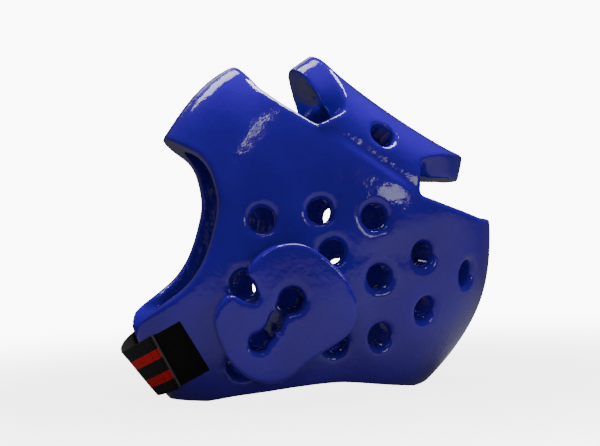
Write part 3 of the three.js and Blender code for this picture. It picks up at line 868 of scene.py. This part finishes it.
def loop_tape_material():
    """Black hook-and-loop tape of knitted nylon, brushed up to a short matted nap.

    It swallows light and has no gleam. Its loops, 0.3 mm or so, are drawn 1 mm wide to show.
    """
    material, tree, shader = new_material(
        "brushed_loop_tape", Roughness=1.0, IOR=1.25, Sheen_Weight=0.04, Sheen_Roughness=0.6,
    )
    place = add(tree, "ShaderNodeTexCoord", output="Object")
    nap = add(
        tree, "ShaderNodeTexNoise",
        {"Vector": place, "Scale": per_metre(1.111), "Detail": 6.0, "Roughness": 0.7},
    )
    clumps = add(
        tree, "ShaderNodeTexNoise",
        {"Vector": place, "Scale": per_metre(4.545), "Detail": 3.0, "Roughness": 0.6},
    )
    lit = add(
        tree, "ShaderNodeMapRange", {"Value": nap, "From Min": 0.35, "From Max": 0.7},
        interpolation_type="SMOOTHSTEP",
    )
    black = add(
        tree, "ShaderNodeMix", {"Factor": lit, "A": colour("010101"), "B": colour("0c0c0e")},
        "Result", data_type="RGBA",
    )
    tree.links.new(black, shader.inputs["Base Color"])
    matted = add(
        tree, "ShaderNodeBump", {"Height": clumps, "Distance": 1.2 * MM, "Strength": 0.8},
    )
    napped = add(
        tree, "ShaderNodeBump",
        {"Height": nap, "Distance": 0.8 * MM, "Strength": 1.0, "Normal": matted},
    )
    tree.links.new(napped, shader.inputs["Normal"])
    return material


def elastic_material(length):
    """Black elastic of woven polyester over rubber, with two red stripes along it.

    Its ribs cross it, so it looks matt and faintly lined. It is stitched down and hemmed at both
    ends. Ribs and threads are drawn about twice as wide as they are, to show. It reads the band's
    UV map, which is the band's own length and width in metres.
    """
    stripe_places, stripe_width = (0.33, 0.75), 6.8
    seam_setbacks, seam_width, stitch_spacing = (2.6, 9.3), 0.9, 2.6
    hem_width = 1.4
    rib_spacing, thread_spacing = 1.25, 0.85
    blur = 0.2

    material, tree, shader = new_material(
        "woven_elastic", Roughness=0.85, IOR=1.3, Sheen_Weight=0.05, Sheen_Roughness=0.5,
    )
    band_map = add(tree, "ShaderNodeUVMap", uv_map="band")
    along = add(tree, "ShaderNodeSeparateXYZ", {0: band_map}, "X")
    across = along.node.outputs["Y"]
    to_far_end = add(tree, "ShaderNodeMath", {0: length * MM, 1: along}, operation="SUBTRACT")
    from_end = add(tree, "ShaderNodeMath", {0: along, 1: to_far_end}, operation="MINIMUM")

    def line(measure, centre, width):
        """1 on a line at a place in millimetres, and 0 beside it."""
        offset = add(tree, "ShaderNodeMath", {0: measure, 1: centre * MM}, operation="SUBTRACT")
        distance = add(tree, "ShaderNodeMath", {0: offset}, operation="ABSOLUTE")
        return add(
            tree, "ShaderNodeMapRange",
            {
                "Value": distance, "From Min": (width / 2 - blur) * MM,
                "From Max": (width / 2 + blur) * MM, "To Min": 1.0, "To Max": 0.0,
            },
            interpolation_type="SMOOTHSTEP",
        )

    def ripples(measure, spacing):
        """Waves from -1 to 1 whose crests are a spacing apart, in millimetres."""
        turns = add(
            tree, "ShaderNodeMath", {0: measure, 1: 2 * math.pi * per_metre(spacing)},
            operation="MULTIPLY",
        )
        return add(tree, "ShaderNodeMath", {0: turns}, operation="SINE")

    stripes = add(
        tree, "ShaderNodeMath",
        {i: line(across, p * STRAP_WIDTH, stripe_width) for i, p in enumerate(stripe_places)},
        operation="MAXIMUM",
    )
    seams = add(
        tree, "ShaderNodeMath",
        {i: line(from_end, setback, seam_width) for i, setback in enumerate(seam_setbacks)},
        operation="MAXIMUM",
    )
    dashes = add(
        tree, "ShaderNodeMapRange",
        {
            "Value": ripples(across, stitch_spacing), "From Min": -0.8, "From Max": -0.2,
            "To Min": 0.35, "To Max": 1.0,
        },
        interpolation_type="SMOOTHSTEP",
    )
    stitches = add(tree, "ShaderNodeMath", {0: seams, 1: dashes}, operation="MULTIPLY")
    hem = line(from_end, 0.0, hem_width)
    ribs = add(
        tree, "ShaderNodeMath", {0: ripples(along, rib_spacing), 1: 0.5}, operation="MULTIPLY",
    )
    threads = add(
        tree, "ShaderNodeMath", {0: ripples(across, thread_spacing), 1: 0.25}, operation="MULTIPLY",
    )
    weave = add(tree, "ShaderNodeMath", {0: ribs, 1: threads}, operation="ADD")
    crests = add(
        tree, "ShaderNodeMapRange", {"Value": weave, "From Min": -0.75, "From Max": 0.75},
        interpolation_type="SMOOTHSTEP",
    )

    # Painted highlight and painted shade of the ribs: the black and the red are both lighter on the
    # weave's crests and darker in its troughs
    black = add(
        tree, "ShaderNodeMix", {"Factor": crests, "A": colour("020202"), "B": colour("101011")},
        "Result", data_type="RGBA",
    )
    red = add(
        tree, "ShaderNodeMix", {"Factor": crests, "A": colour("b4000c"), "B": colour("e80010")},
        "Result", data_type="RGBA",
    )
    striped = add(
        tree, "ShaderNodeMix", {"Factor": stripes, "A": black, "B": red},
        "Result", data_type="RGBA",
    )
    hemmed = add(
        tree, "ShaderNodeMix", {"Factor": hem, "A": striped, "B": colour("4c4a50")},
        "Result", data_type="RGBA",
    )
    sewn = add(
        tree, "ShaderNodeMix", {"Factor": stitches, "A": hemmed, "B": colour("040404")},
        "Result", data_type="RGBA",
    )
    tree.links.new(sewn, shader.inputs["Base Color"])

    # The seams pull the band in
    pulled_in = add(tree, "ShaderNodeMath", {0: seams, 1: 1.6}, operation="MULTIPLY")
    height = add(tree, "ShaderNodeMath", {0: weave, 1: pulled_in}, operation="SUBTRACT")
    relief = add(
        tree, "ShaderNodeBump", {"Height": height, "Distance": 0.4 * MM, "Strength": 0.9},
    )
    tree.links.new(relief, shader.inputs["Normal"])
    return material


def floor_material():
    """A sweep of matt paper, which runs on without a horizon into the pale background.

    The photo's background is white, so the paper glows to the camera. It is darker on the far
    side, because the inside of the forehead mirrors it there.
    """
    material, tree, shader = new_material(
        "paper_sweep", Roughness=0.6, Emission_Color=colour("ffffff"),
    )
    place = add(tree, "ShaderNodeTexCoord", output="Object")
    aside = add(tree, "ShaderNodeSeparateXYZ", {0: place}, "X")
    to_far_side = add(
        tree, "ShaderNodeMapRange", {"Value": aside, "From Min": -0.5, "From Max": 0.4},
        interpolation_type="SMOOTHSTEP",
    )
    grey = add(
        tree, "ShaderNodeMix",
        {"Factor": to_far_side, "A": colour("949494"), "B": colour("1c1c1c")},
        "Result", data_type="RGBA",
    )
    tree.links.new(grey, shader.inputs["Base Color"])
    away = add(tree, "ShaderNodeVectorMath", {0: place}, "Value", operation="LENGTH")
    fading = add(
        tree, "ShaderNodeMapRange",
        {
            "Value": away, "From Min": 0.15, "From Max": 0.8,
            "To Min": FLOOR_GLOW, "To Max": BACKGROUND_LIGHT,
        },
        interpolation_type="SMOOTHSTEP",
    )
    to_camera = add(tree, "ShaderNodeLightPath", output="Is Camera Ray")
    in_gloss = to_camera.node.outputs["Is Glossy Ray"]
    glow = add(tree, "ShaderNodeMath", {0: fading, 1: to_camera}, operation="MULTIPLY")
    mirrored = add(
        tree, "ShaderNodeMath", {0: in_gloss, 1: FLOOR_MIRRORED}, operation="MULTIPLY",
    )
    strength = add(tree, "ShaderNodeMath", {0: glow, 1: mirrored}, operation="ADD")
    tree.links.new(strength, shader.inputs["Emission Strength"])
    return material


# Assembly

vinyl = vinyl_material()
loop_tape = loop_tape_material()


def dress(piece, node, material):
    """Gives a finished piece its material and its place in the frame."""
    piece.data.materials.clear()
    piece.data.materials.append(material)
    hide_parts(node)
    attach(piece, "root")
    return piece


for node, piece in make_shell().items():
    dress(piece, node, vinyl)

for hand, side in ((-1, "right"), (1, "left")):
    pad = dress(make_pad(hand, side + "_ear_cushion"), side + "_ear_pad", vinyl)
    rows = patch_rows() * np.array([-hand, 1, 1])
    tape = band(side + "_loop_tape", facing_out(rows), PATCH_THICKNESS, PATCH_EDGE)
    dress(tape, side + "_strap_patch", loop_tape)

rows = facing_out(strap_rows())
strap = band("striped_elastic_strap", rows, STRAP_THICKNESS, STRAP_EDGE)
strap_length = np.linalg.norm(np.diff(rows[:, rows.shape[1] // 2], axis=0), axis=1).sum()
dress(strap, "nape_strap", elastic_material(strap_length))

# Camera: where the photo's side view was taken from, behind the right ear and a little above it
CAMERA_WAY = Vector((-0.988, 0.152, 0.028))
CAMERA_DISTANCE = 1.140
CAMERA_FROM = Vector((0.0, -0.0118, 0.0965))  # the point that it was straight in front of
CAMERA_AIM = Vector((0.0, 0.003, 0.121))
CAMERA_ROLL = math.radians(-2.2)
CAMERA_LENS = 92.0

camera_data = bpy.data.cameras.new("camera")
camera_data.lens = CAMERA_LENS
camera = bpy.data.objects.new("camera", camera_data)
stand = CAMERA_FROM + CAMERA_WAY.normalized() * CAMERA_DISTANCE
looking = (stand - CAMERA_AIM).to_track_quat("Z", "Y").to_matrix().to_4x4()
camera.matrix_world = Matrix.Translation(stand) @ looking @ Matrix.Rotation(CAMERA_ROLL, 4, "Z")
bpy.context.scene.collection.objects.link(camera)
bpy.context.scene.camera = camera


# Studio


def softbox(name, way, distance, size, radiance, along=(0.0, 1.0, 0.0)):
    """A lit panel that faces the headgear. Its first size runs along the given direction."""
    data = bpy.data.lights.new(name, "AREA")
    data.shape = "RECTANGLE"
    data.size, data.size_y = size
    data.energy = radiance * math.pi * size[0] * size[1]
    lamp = bpy.data.objects.new(name, data)
    back = Vector(way).normalized()
    side = Vector(along)
    side = (side - back * side.dot(back)).normalized()
    turn = Matrix((side, back.cross(side), back)).transposed().to_4x4()
    lamp.matrix_world = Matrix.Translation(STUDIO_CENTRE + back * distance) @ turn
    bpy.context.scene.collection.objects.link(lamp)


STUDIO_CENTRE = Vector((0.0, 0.0, 0.13))

# Each panel stands where the skin mirrors a highlight of the photo from
softbox("top_box", (0.12, -0.2, 1.0), 1.3, (1.0, 0.55), 25)
softbox("crown_box", (0.62, 0.3, 0.62), 1.4, (0.5, 0.4), 5)
softbox("streak_box", (-0.65, 0.3, 0.69), 1.4, (0.6, 0.035), 15, (-0.16, 0.35, -0.27))
softbox("brow_box", (-0.83, -0.53, 0.20), 1.5, (0.5, 0.26), 5, (0.53, -0.83, 0.0))
softbox("rim_box", (0.92, 0.05, 0.42), 1.7, (0.8, 0.3), 0.8)

bm = bmesh.new()
bmesh.ops.create_grid(bm, x_segments=1, y_segments=1, size=6.0)
floor = piece_from(bm, "floor")
floor.data.materials.append(floor_material())

# The room is pale to the camera and dim in the gloss
world = bpy.data.worlds.new("studio")
world.use_nodes = True
room = world.node_tree.nodes["Background"]
room.inputs["Color"].default_value = colour("ffffff")
to_camera = add(world.node_tree, "ShaderNodeLightPath", output="Is Camera Ray")
in_gloss = to_camera.node.outputs["Is Glossy Ray"]
level = add(
    world.node_tree, "ShaderNodeMapRange",
    {"Value": to_camera, "To Min": ROOM_LIGHT, "To Max": BACKGROUND_LIGHT},
)
level = add(
    world.node_tree, "ShaderNodeMapRange",
    {"Value": in_gloss, "To Min": level, "To Max": ROOM_MIRRORED},
)
world.node_tree.links.new(level, room.inputs["Strength"])
bpy.context.scene.world = world
